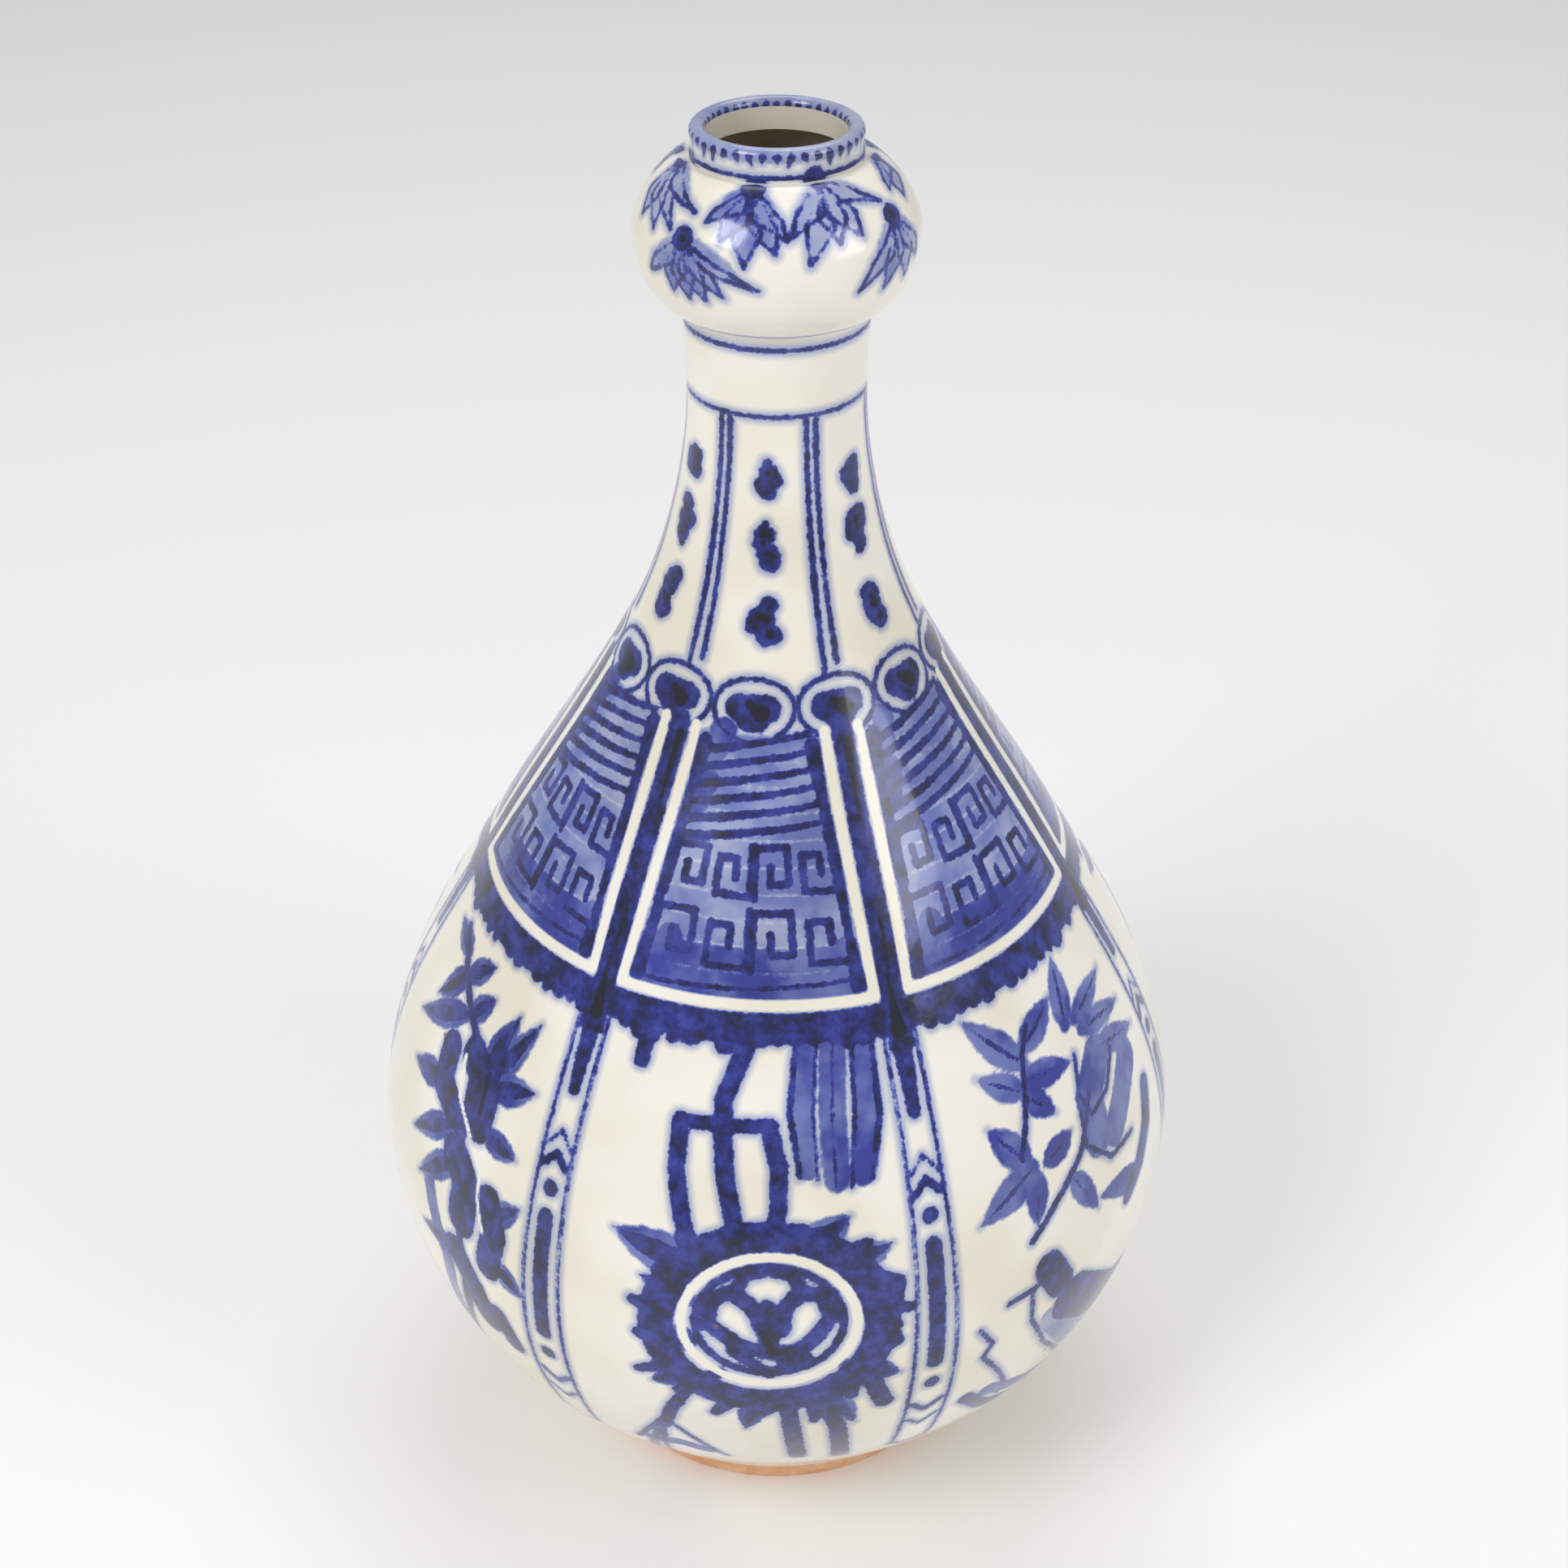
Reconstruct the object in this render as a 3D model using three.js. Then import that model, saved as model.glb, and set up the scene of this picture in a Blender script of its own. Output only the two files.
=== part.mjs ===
// Garlic-head porcelain bottle, luted from five thrown sections, in millimetres with +Z up.
// The origin is the centre of the foot ring's underside.
import * as THREE from 'three';

// Foot ring and floor
const FOOT_RADIUS = 40;
const FOOT_RING_WIDTH = 4.4;
const FOOT_RECESS_DEPTH = 4;
const FOOT_EDGE_EASE = 0.5;
const FOOT_TOP_HEIGHT = 4.4;
const FOOT_TOP_RADIUS = 41.2;
const FLOOR_THICKNESS = 7;

// Outer outline of belly, shoulder and neck, from foot to bulb
const HIP_HEIGHT = 20.4;
const HIP_RADIUS = 54.8;
const LOWER_BELLY_HEIGHT = 42;
const LOWER_BELLY_RADIUS = 71;
const BELLY_HEIGHT = 77;
const BELLY_RADIUS = 80;
const UPPER_BELLY_HEIGHT = 103;
const UPPER_BELLY_RADIUS = 74.6;
const SHOULDER_HEIGHT = 142.5;
const SHOULDER_RADIUS = 53.4;
const NECK_ROOT_HEIGHT = 186.3;
const NECK_ROOT_RADIUS = 27.6;
const LOWER_NECK_HEIGHT = 206;
const LOWER_NECK_RADIUS = 19.8;
const WAIST_HEIGHT = 234;
const WAIST_RADIUS = 15.7;
const NECK_TOP_RADIUS = 16.3;

// Garlic bulb and mouth
const BULB_BASE_HEIGHT = 248.6;
const BULB_HEIGHT = 26;
const BULB_RADIUS = 24.4;
const BULB_WIDEST_SHARE = 0.53;
const BULB_LOWER_FULLNESS = 2;
const BULB_UPPER_FULLNESS = 1.5;
const COLLAR_HEIGHT = 4.8;
const COLLAR_RADIUS = 14.6;
const LIP_THICKNESS = 2.8;

// Walls and slip seams
const BODY_WALL = 3.8;
const NECK_WALL = 3.2;
const BULB_WALL = 3.2;
const SLIP_THICKNESS = 0.6;
const BODY_SEAM_HEIGHT = 122;

// Fineness of the faceted solids
const SEGMENTS = 40;
const BODY_STEPS = 12;
const SHOULDER_STEPS = 6;
const NECK_STEPS = 8;
const BULB_STEPS = 10;
const LIP_STEPS = 6;

const PORCELAIN = { color: 0xe9e3d2, roughness: 0.18, metalness: 0 };
const COBALT_WARE = { color: 0x8e97c4, roughness: 0.2, metalness: 0 };
const SLIP = { color: 0xdcd3bf, roughness: 0.45, metalness: 0 };

const stations = [
  [FOOT_TOP_HEIGHT, FOOT_TOP_RADIUS],
  [HIP_HEIGHT, HIP_RADIUS],
  [LOWER_BELLY_HEIGHT, LOWER_BELLY_RADIUS],
  [BELLY_HEIGHT, BELLY_RADIUS],
  [UPPER_BELLY_HEIGHT, UPPER_BELLY_RADIUS],
  [SHOULDER_HEIGHT, SHOULDER_RADIUS],
  [NECK_ROOT_HEIGHT, NECK_ROOT_RADIUS],
  [LOWER_NECK_HEIGHT, LOWER_NECK_RADIUS],
  [WAIST_HEIGHT, WAIST_RADIUS],
  [BULB_BASE_HEIGHT, NECK_TOP_RADIUS],
];

// Slope of the outline at each station: the mean of its two neighbouring chords, flat at a
// widest or narrowest place
function stationSlope(index) {
  const chord = (a, b) => (stations[b][1] - stations[a][1]) / (stations[b][0] - stations[a][0]);
  if (index === 0) return chord(0, 1);
  if (index === stations.length - 1) return chord(index - 1, index);
  const before = chord(index - 1, index);
  const after = chord(index, index + 1);
  return before * after <= 0 ? 0 : (before + after) / 2;
}

// Cubic pieces through the stations: the outer radius and its slope at a height
function outline(height) {
  let index = stations.findIndex(([top]) => top >= height);
  index = Math.min(Math.max(index, 1), stations.length - 1);
  const [z0, r0] = stations[index - 1];
  const [z1, r1] = stations[index];
  const span = z1 - z0;
  const t = (height - z0) / span;
  const m0 = stationSlope(index - 1) * span;
  const m1 = stationSlope(index) * span;
  const radius = (2 * t ** 3 - 3 * t ** 2 + 1) * r0 + (t ** 3 - 2 * t ** 2 + t) * m0
    + (3 * t ** 2 - 2 * t ** 3) * r1 + (t ** 3 - t ** 2) * m1;
  const slope = ((6 * t ** 2 - 6 * t) * (r0 - r1) + (3 * t ** 2 - 4 * t + 1) * m0
    + (3 * t ** 2 - 2 * t) * m1) / span;
  return { radius, slope };
}

// The wall thins evenly from the body to the neck, between the body seam and the neck root
function wallAt(height) {
  const share = (height - BODY_SEAM_HEIGHT) / (NECK_ROOT_HEIGHT - BODY_SEAM_HEIGHT);
  return THREE.MathUtils.lerp(BODY_WALL, NECK_WALL, THREE.MathUtils.clamp(share, 0, 1));
}

function innerRadius(height) {
  const { radius, slope } = outline(height);
  return radius - wallAt(height) * Math.hypot(1, slope);
}

// Heights from low to high in equal steps
function heights(low, high, steps) {
  return Array.from({ length: steps + 1 }, (_, i) => THREE.MathUtils.lerp(low, high, i / steps));
}

// Closed ring profile between two heights of the body and neck wall
function wallProfile(low, high, steps) {
  const levels = heights(low, high, steps);
  const outside = levels.map((z) => new THREE.Vector2(outline(z).radius, z));
  const inside = levels.map((z) => new THREE.Vector2(innerRadius(z), z)).reverse();
  return [...outside, ...inside, outside[0].clone()];
}

function lathe(name, profile, finish) {
  const geometry = new THREE.LatheGeometry(profile, SEGMENTS);
  geometry.rotateX(Math.PI / 2);
  const mesh = new THREE.Mesh(geometry, new THREE.MeshStandardMaterial(finish));
  mesh.name = name;
  return mesh;
}

// Belly with its floor and the foot ring turned out of the same clay
function lowerBody() {
  const ringInner = FOOT_RADIUS - FOOT_RING_WIDTH;
  const floorTop = FOOT_RECESS_DEPTH + FLOOR_THICKNESS;
  const ease = FOOT_EDGE_EASE;
  const foot = [
    new THREE.Vector2(0, FOOT_RECESS_DEPTH),
    new THREE.Vector2(ringInner - ease, FOOT_RECESS_DEPTH),
    new THREE.Vector2(ringInner, ease),
    new THREE.Vector2(ringInner + ease, 0),
    new THREE.Vector2(FOOT_RADIUS - ease, 0),
    new THREE.Vector2(FOOT_RADIUS, ease),
  ];
  const outside = heights(FOOT_TOP_HEIGHT, BODY_SEAM_HEIGHT, BODY_STEPS)
    .map((z) => new THREE.Vector2(outline(z).radius, z));
  const inside = heights(floorTop + BODY_WALL, BODY_SEAM_HEIGHT, BODY_STEPS)
    .map((z) => new THREE.Vector2(innerRadius(z), z))
    .reverse();
  const cove = new THREE.Vector2(innerRadius(floorTop + BODY_WALL) - BODY_WALL, floorTop);
  return lathe('lower_body', [...foot, ...outside, ...inside, cove, new THREE.Vector2(0, floorTop)],
    COBALT_WARE);
}

// Swelling curve of the bulb: seam radius at both ends, widest radius between
function bulbRadius(height, baseRadius, topRadius, widest) {
  const top = BULB_BASE_HEIGHT + BULB_HEIGHT;
  const middle = THREE.MathUtils.lerp(BULB_BASE_HEIGHT, top, BULB_WIDEST_SHARE);
  const below = height < middle;
  const reach = below ? middle - BULB_BASE_HEIGHT : top - middle;
  const share = Math.min(Math.abs(height - middle) / reach, 1);
  const power = below ? BULB_LOWER_FULLNESS : BULB_UPPER_FULLNESS;
  const end = below ? baseRadius : topRadius;
  return end + (widest - end) * (1 - share ** power) ** (1 / power);
}

function garlicBulb() {
  const low = BULB_BASE_HEIGHT + SLIP_THICKNESS;
  const high = BULB_BASE_HEIGHT + BULB_HEIGHT - SLIP_THICKNESS;
  const middle = (low + high) / 2;
  // Levels crowd towards both ends, where the wall turns fastest
  const levels = heights(-Math.PI / 2, Math.PI / 2, BULB_STEPS)
    .map((angle) => middle + Math.sin(angle) * (high - low) / 2);
  const bore = NECK_TOP_RADIUS - NECK_WALL;
  const mouth = COLLAR_RADIUS - LIP_THICKNESS;
  const outside = levels.map((z) => new THREE.Vector2(
    bulbRadius(z, NECK_TOP_RADIUS, COLLAR_RADIUS, BULB_RADIUS), z));
  const inside = levels.map((z) => new THREE.Vector2(
    bulbRadius(z, bore, mouth, BULB_RADIUS - BULB_WALL), z)).reverse();
  return lathe('garlic_bulb', [...outside, ...inside, outside[0].clone()], COBALT_WARE);
}

// Upright ring with a half-round lip
function mouthCollar() {
  const low = BULB_BASE_HEIGHT + BULB_HEIGHT;
  const lipRadius = LIP_THICKNESS / 2;
  const lipCentre = COLLAR_RADIUS - lipRadius;
  const lipHeight = low + COLLAR_HEIGHT - lipRadius;
  const lip = heights(0, Math.PI, LIP_STEPS).map((angle) => new THREE.Vector2(
    lipCentre + lipRadius * Math.cos(angle), lipHeight + lipRadius * Math.sin(angle)));
  const start = new THREE.Vector2(COLLAR_RADIUS, low);
  const inner = new THREE.Vector2(COLLAR_RADIUS - LIP_THICKNESS, low);
  return lathe('mouth_collar', [start, ...lip, inner, start.clone()], COBALT_WARE);
}

// Ring of slip with an upright outside and inside
function slipRing(name, low, inner, outer) {
  const high = low + SLIP_THICKNESS;
  const profile = [[outer, low], [outer, high], [inner, high], [inner, low], [outer, low]];
  return lathe(name, profile.map(([r, z]) => new THREE.Vector2(r, z)), SLIP);
}

const vase = new THREE.Group();
vase.name = 'garlic_head_vase';

vase.add(lowerBody());
vase.add(lathe('body_seam_slip',
  wallProfile(BODY_SEAM_HEIGHT, BODY_SEAM_HEIGHT + SLIP_THICKNESS, 1), SLIP));
vase.add(lathe('shoulder',
  wallProfile(BODY_SEAM_HEIGHT + SLIP_THICKNESS, NECK_ROOT_HEIGHT, SHOULDER_STEPS), COBALT_WARE));
vase.add(lathe('neck_seam_slip',
  wallProfile(NECK_ROOT_HEIGHT, NECK_ROOT_HEIGHT + SLIP_THICKNESS, 1), SLIP));
vase.add(lathe('neck',
  wallProfile(NECK_ROOT_HEIGHT + SLIP_THICKNESS, BULB_BASE_HEIGHT, NECK_STEPS), PORCELAIN));
vase.add(slipRing('bulb_seam_slip', BULB_BASE_HEIGHT, NECK_TOP_RADIUS - NECK_WALL, NECK_TOP_RADIUS));
vase.add(garlicBulb());
vase.add(slipRing('collar_seam_slip', BULB_BASE_HEIGHT + BULB_HEIGHT - SLIP_THICKNESS,
  COLLAR_RADIUS - LIP_THICKNESS, COLLAR_RADIUS));
vase.add(mouthCollar());

export default vase;
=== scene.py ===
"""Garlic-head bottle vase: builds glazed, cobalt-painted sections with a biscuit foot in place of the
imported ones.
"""

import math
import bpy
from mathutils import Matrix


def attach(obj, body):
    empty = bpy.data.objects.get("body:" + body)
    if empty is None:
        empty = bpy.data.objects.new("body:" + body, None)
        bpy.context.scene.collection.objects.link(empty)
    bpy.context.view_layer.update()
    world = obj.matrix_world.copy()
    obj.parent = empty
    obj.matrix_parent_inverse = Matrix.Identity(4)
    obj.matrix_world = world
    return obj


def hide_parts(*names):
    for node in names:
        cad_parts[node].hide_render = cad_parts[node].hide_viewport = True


bl_info = {
    "name": "Garlic-head Vase",
    "version": (1, 0, 0),
    "blender": (4, 5, 0),
    "location": "3D View > Sidebar > Vase",
    "description": "Glazed and painted sections of a garlic-head porcelain bottle",
    "category": "Object",
}

import bpy
import numpy as np

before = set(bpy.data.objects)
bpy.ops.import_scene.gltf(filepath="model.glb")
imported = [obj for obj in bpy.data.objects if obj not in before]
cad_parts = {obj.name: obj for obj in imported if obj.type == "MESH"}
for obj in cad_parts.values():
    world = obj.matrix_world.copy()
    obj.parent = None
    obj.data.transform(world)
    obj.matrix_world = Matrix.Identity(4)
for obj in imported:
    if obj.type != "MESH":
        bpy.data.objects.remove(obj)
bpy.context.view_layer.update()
BODY = "root"
GLAZE = "painted_glaze"
MM = 0.001

# Height and outer radius in millimetres; the belly keeps just inside the solids' widest facet
OUTLINE = [(4.4, 41.2), (20.4, 54.8), (42, 71), (77, 79.86), (103, 74.6), (142.5, 53.4),
           (186.3, 27.6), (206, 19.8), (234, 15.7), (248.6, 16.3)]
FOOT_RADIUS = 40.0
FOOT_RING_WIDTH = 4.4
FOOT_RECESS_DEPTH = 4.0
FOOT_EDGE_EASE = 0.5
FLOOR_TOP = 11.0
FLOOR_MARGIN = 4.0
NEAR_AXIS = 2.0
BODY_WALL = 3.8
NECK_WALL = 3.2
SLIP = 0.6
BODY_SPLIT = 46.0
BODY_SEAM = 122.0
NECK_SEAM = 186.3
BULB_BASE = 248.6
BULB_TOP = 274.6
BULB_RADIUS = 24.4
BULB_MIDDLE = 262.38
COLLAR_TOP = 279.4
COLLAR_RADIUS = 14.6
LIP_THICKNESS = 2.8
NECK_TOP_RADIUS = 16.3

# The photograph's camera, from the outline and the painted rings
PHOTO_SIZE = 1932
FOCAL_PIXELS = 3102.7
CAMERA_DISTANCE = 403.9
CAMERA_HEIGHT = 416.0
CAMERA_TILT = math.radians(33.44)
AXIS_TOP_X = 962.0
AXIS_TOP_Y = 200.0
AXIS_LEAN = -0.0052
AXIS_SHIFT = 0.0045
SENSOR = 36.0

# Stage, in metres and watts: the lamps are a name, a place, a size and a power
FLOOR_REACH = 20
LAMP_AIM_HEIGHT = 0.13
LAMPS = (("key", (-0.7, -0.7, 1.0), 0.5, 7.0), ("fill", (0.9, -0.5, 0.7), 0.5, 3.0),
         ("top", (0.1, 0.5, 1.3), 0.8, 4.5))
SKY_COLOUR = (0.93, 0.95, 1.0, 1)
SKY_STRENGTH = 0.55
CLIP_START = 0.01

# Stretch of a sight line, in millimetres from the camera, on which the surface is looked for
SIGHT_START = 280
SIGHT_END = 900
SIGHT_POINTS = 3101

# Painted layout: bars and strips between the panels, in degrees from the camera's meridian
STRIP_ANGLES = (-86.8, -33.4, 21.6, 78.0, 143.0, 208.0, 273.2)
PANELS_SEEN = 3
LAPPET_TOP = 180.0
LAPPET_BOTTOM = 139.0
OVAL_START = -8.2
OVAL_PITCH = 30.0
OVAL_HEIGHT = 183.6

# Strokes: how far one is felt, its pieces' length, a dot's turn, a hoop's pieces, a rough degree
FIELD_REACH = 3.0
STROKE_STEP = 4.0
DOT_TURN = 0.01
HOOP_STEP = 8
DEGREE = 0.0175

# Share of the bake map's height that a millimetre inside gets, against one outside
INSIDE_SHARE = 0.15
SHARP_ANGLE = math.radians(40)

# Tones that the add-on's properties don't hold, and the ink's tints by its depth
AGED_CREAM = "e4ddc9"
# THROAT_SHADE_BROWN is painted shade deep inside the mouth, not a colour of the glaze
THROAT_SHADE_BROWN = "8a6d4c"
IRON_SPECK = "9a5a2c"
PALE_BISCUIT = "efc69e"
WARM_BISCUIT = "e3a272"
DARK_GRIT = "8c5230"
PALE_GRIT = "c98d5e"
THIN_INK = ((0.0, "ffffff"), (0.2, "bcc6ea"), (0.42, "7282cf"))
FULL_INK = 0.62
THICK_INK = ((0.82, "222a86"), (1.0, "12122a"))

# Heights in metres between which painted shade darkens the mouth's inside with depth, and where the glaze
# stops at the foot
THROAT_TOP = 0.277
THROAT_LOW = 0.262
GLAZE_LINE_TOP = 0.0058
GLAZE_LINE_LOW = 0.0052

# Rows of faces along the sections, and grains of kiln grit on each square metre of the foot
BASE_ROWS = 66
BELLY_ROWS = 118
SHOULDER_ROWS = 126
NECK_ROWS = 150
BULB_ROWS = 120
GRIT_DENSITY = 260000.0
GRIT_SIDES = 120

# Band of the grit: how far its two edges lie beyond the foot's radius, and their heights
GRIT_BAND = ((-0.1, 0.9), (0.7, 3.6))


def hermite(z):
    """Outer radius of belly, shoulder and neck at heights z: cubics through OUTLINE."""
    zs = np.array([p[0] for p in OUTLINE])
    rs = np.array([p[1] for p in OUTLINE])
    chord = np.diff(rs) / np.diff(zs)
    inner = np.where(chord[:-1] * chord[1:] <= 0, 0, (chord[:-1] + chord[1:]) / 2)
    slope = np.concatenate([[chord[0]], inner, [chord[-1]]])
    z = np.asarray(z, float)
    i = np.clip(np.searchsorted(zs, z, side="left"), 1, len(zs) - 1)
    span = zs[i] - zs[i - 1]
    t = (z - zs[i - 1]) / span
    m0 = slope[i - 1] * span
    m1 = slope[i] * span
    r = ((2 * t**3 - 3 * t**2 + 1) * rs[i - 1] + (t**3 - 2 * t**2 + t) * m0
         + (3 * t**2 - 2 * t**3) * rs[i] + (t**3 - t**2) * m1)
    dr = ((6 * t**2 - 6 * t) * (rs[i - 1] - rs[i]) + (3 * t**2 - 4 * t + 1) * m0
          + (3 * t**2 - 2 * t) * m1) / span
    return r, dr


def wall_inside(z):
    """Inner radius of belly, shoulder and neck at heights z."""
    r, dr = hermite(z)
    share = np.clip((np.asarray(z) - BODY_SEAM) / (NECK_SEAM - BODY_SEAM), 0, 1)
    return r - (BODY_WALL + (NECK_WALL - BODY_WALL) * share) * np.hypot(1, dr)


def bulb_radius(z, base, top, widest):
    """Swelling curve of the garlic bulb."""
    z = np.asarray(z, float)
    below = z < BULB_MIDDLE
    reach = np.where(below, BULB_MIDDLE - BULB_BASE, BULB_TOP - BULB_MIDDLE)
    share = np.clip(np.abs(z - BULB_MIDDLE) / reach, 0, 1)
    power = np.where(below, 2.0, 1.5)
    end = np.where(below, base, top)
    return end + (widest - end) * (1 - share**power) ** (1 / power)


def surface_radius(z):
    """Outer radius of the whole bottle at heights z."""
    z = np.asarray(z, float)
    body = hermite(np.clip(z, OUTLINE[0][0], BULB_BASE))[0]
    bulb = bulb_radius(np.clip(z, BULB_BASE, BULB_TOP), NECK_TOP_RADIUS, COLLAR_RADIUS, BULB_RADIUS)
    r = np.where(z > BULB_BASE, bulb, body)
    r = np.where(z > BULB_TOP, COLLAR_RADIUS, r)
    return np.where(z < OUTLINE[0][0], FOOT_RADIUS, r)


def from_photo(x, y):
    """Angle in degrees and height in millimetres of the surface under a point of the photograph."""
    cos_t, sin_t = math.cos(CAMERA_TILT), math.sin(CAMERA_TILT)
    u = (x - (AXIS_TOP_X + (y - AXIS_TOP_Y) * AXIS_LEAN)) / FOCAL_PIXELS
    v = (PHOTO_SIZE / 2 - y) / FOCAL_PIXELS
    way = np.array([u, -cos_t - v * sin_t, -sin_t + v * cos_t])
    reach = np.linspace(SIGHT_START, SIGHT_END, SIGHT_POINTS)[:, None]
    points = np.array([0, CAMERA_DISTANCE, CAMERA_HEIGHT]) + reach * way
    z = points[:, 2]
    gap = np.hypot(points[:, 0], points[:, 1]) - surface_radius(np.clip(z, 0, COLLAR_TOP))
    gap = np.where((z < 0) | (z > COLLAR_TOP), 1e3, gap)
    i = int(np.argmax(gap < 0)) if (gap < 0).any() else int(np.argmin(gap))
    p = points[i]
    return math.degrees(math.atan2(p[0], p[1])), float(p[2])


class Painting:
    """Brush strokes on the bottle, as capsules in space, one list for each layer."""

    def __init__(self):
        self.layers = {"line_gap": [], "mid_gap": [], "wash_gap": [], "bare_gap": [], "pool_gap": []}

    def stroke(self, layer, points, widths):
        """A stroke through (angle, height) points, with widths in millimetres along it."""
        points = np.array(points, float)
        if len(points) == 1:
            points = np.vstack([points, points + [DOT_TURN, 0]])
        widths = np.array([widths, widths] if np.isscalar(widths) else widths, float)
        steps = []
        for a, b in zip(points[:-1], points[1:]):
            across = (b[0] - a[0]) * DEGREE * float(surface_radius(a[1]))
            count = max(int(math.hypot(across, b[1] - a[1]) / STROKE_STEP), 1)
            steps.extend(a + (b - a) * k / count for k in range(count))
        steps.append(points[-1])
        steps = np.array(steps)
        along = np.linspace(0, 1, len(steps))
        radius = np.interp(along, np.linspace(0, 1, len(widths)), widths) / 2
        self.layers[layer].append((steps, radius))

    def leaf(self, layer, base, tip, width):
        """A pointed brush mark, widest a third of the way along."""
        base = np.array(base, float)
        tip = np.array(tip, float)
        points = [base + (tip - base) * t for t in (0, 0.2, 0.4, 0.6, 0.8, 1)]
        shares = (0.5, 0.9, 1, 0.8, 0.45)
        self.stroke(layer, points, [share * width for share in shares] + [0.05])

    def fields(self, angles, z):
        """Distance to the nearest stroke's edge for a grid of angles (degrees) and heights."""
        rad = np.radians(angles)
        r = surface_radius(z)
        out = {}
        for layer, strokes in self.layers.items():
            field = np.full((len(z), len(angles)), FIELD_REACH)
            for steps, radius in strokes:
                for k in range(len(steps) - 1):
                    self._segment(field, rad, z, r, steps[k], steps[k + 1], radius[k], radius[k + 1])
            out[layer] = field
        return out

    @staticmethod
    def _segment(field, rad, z, r, a, b, ra, rb):
        """Lowers the field round one tapering piece of a stroke, from a to b."""
        reach = max(ra, rb) + FIELD_REACH
        rows = np.nonzero((z > min(a[1], b[1]) - reach) & (z < max(a[1], b[1]) + reach))[0]
        if not len(rows):
            return
        spread = math.radians(abs(b[0] - a[0]) / 2) + reach / max(r[rows].min(), 8.0)
        middle = math.radians((a[0] + b[0]) / 2)
        turn = np.abs((rad - middle + math.pi) % (2 * math.pi) - math.pi)
        cols = np.nonzero(turn < spread)[0]
        if not len(cols):
            return
        rr = r[rows][:, None]
        here = np.stack([rr * np.sin(rad[cols]), rr * np.cos(rad[cols]),
                         np.broadcast_to(z[rows][:, None], (len(rows), len(cols)))], axis=-1)
        ends = []
        for angle, height in (a, b):
            radius = float(surface_radius(height))
            turn = math.radians(angle)
            ends.append(np.array([radius * math.sin(turn), radius * math.cos(turn), height]))
        p, q = ends
        line = q - p
        t = np.clip(((here - p) @ line) / max(line @ line, 1e-9), 0, 1)
        gap = np.linalg.norm(here - p - t[..., None] * line, axis=-1) - (ra + (rb - ra) * t)
        block = field[np.ix_(rows, cols)]
        field[np.ix_(rows, cols)] = np.minimum(block, gap)


painting = Painting()
PIXELS_PER_MM = 6.8

# Panel marks in the photograph's pixels: layer, width and points; a leaf is base, tip and width
FRONT_PANEL = [
    ("line_gap", 20, [(850, 1256), (815, 1262), (796, 1280), (790, 1305)]),
    ("line_gap", 23, [(930, 1262), (905, 1320), (891, 1354), (889, 1400), (891, 1443), (907, 1532)]),
    ("line_gap", 18, [(836, 1379), (890, 1386), (950, 1388)]),
    ("line_gap", 22, [(838, 1379), (832, 1440), (838, 1500), (846, 1530)]),
    ("line_gap", 22, [(946, 1388), (958, 1440), (957, 1490), (950, 1525)]),
    ("mid_gap", 30, [(990, 1280), (984, 1360), (993, 1440)]),
    ("mid_gap", 34, [(1024, 1285), (1024, 1370), (1030, 1452)]),
    ("mid_gap", 34, [(1060, 1290), (1068, 1380), (1062, 1444)]),
    ("line_gap", 8, [(979, 1285), (972, 1370), (984, 1450)]),
    ("line_gap", 5, [(1004, 1285), (1000, 1370), (1006, 1455)]),
    ("line_gap", 5, [(1024, 1285), (1024, 1370), (1028, 1462)]),
    ("line_gap", 7, [(1048, 1285), (1052, 1370), (1048, 1460)]),
    ("line_gap", 9, [(1072, 1288), (1082, 1370), (1072, 1450)]),
    ("line_gap", 18, [(1075, 1572), (1106, 1578), (1102, 1600), (1078, 1606)]),
    ("line_gap", 22, [(1072, 1645), (1100, 1632)]),
    ("line_gap", 23, [(966, 1722), (972, 1760), (979, 1794)]),
    ("line_gap", 23, [(1004, 1720), (1028, 1755), (1031, 1792)]),
    ("line_gap", 25, [(1068, 1690), (1078, 1712), (1086, 1726)]),
    ("line_gap", 18, [(884, 1690), (850, 1702), (824, 1735), (815, 1755)]),
    ("line_gap", 8, [(815, 1745), (784, 1768)]),
    ("line_gap", 8, [(815, 1745), (806, 1786)]),
    ("line_gap", 8, [(815, 1745), (836, 1794)]),
    ("line_gap", 8, [(815, 1745), (866, 1798)]),
    ("line_gap", 8, [(815, 1745), (893, 1793)]),
    ("mid_gap", 26, [(800, 1770), (835, 1776), (870, 1786)]),
]
FRONT_LEAVES = [
    ((850, 1560), (753, 1510), 52), ((985, 1545), (1046, 1497), 44), ((845, 1600), (786, 1570), 40),
    ((850, 1650), (776, 1640), 44), ((850, 1690), (800, 1700), 38), ((930, 1725), (915, 1760), 34),
    ((1020, 1715), (1050, 1752), 34), ((1040, 1680), (1108, 1690), 40), ((1040, 1560), (1098, 1530), 38),
]

# The medallion's ring, and the reach of its teeth as a share of the ring with their widths
MEDALLION_CENTRE = (945, 1626)
MEDALLION_RING = (110, 78)
MEDALLION_TEETH = ((1.46, 40), (1.58, 28), (1.5, 34), (1.66, 24))
MEDALLION_POOL = [(935, 1640), (950, 1668), (975, 1660)]
MEDALLION_SCROLL = [
    (22, [(945, 1668), (905, 1656), (868, 1630), (872, 1600), (900, 1592), (925, 1612), (938, 1640)]),
    (22, [(962, 1672), (998, 1652), (1022, 1622), (1012, 1596), (984, 1592), (964, 1612), (960, 1640)]),
    (18, [(902, 1592), (915, 1572), (944, 1564), (974, 1572), (986, 1592)]),
    (18, [(900, 1664), (945, 1692), (990, 1672)]),
    (20, [(942, 1610), (948, 1660)]),
]

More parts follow.
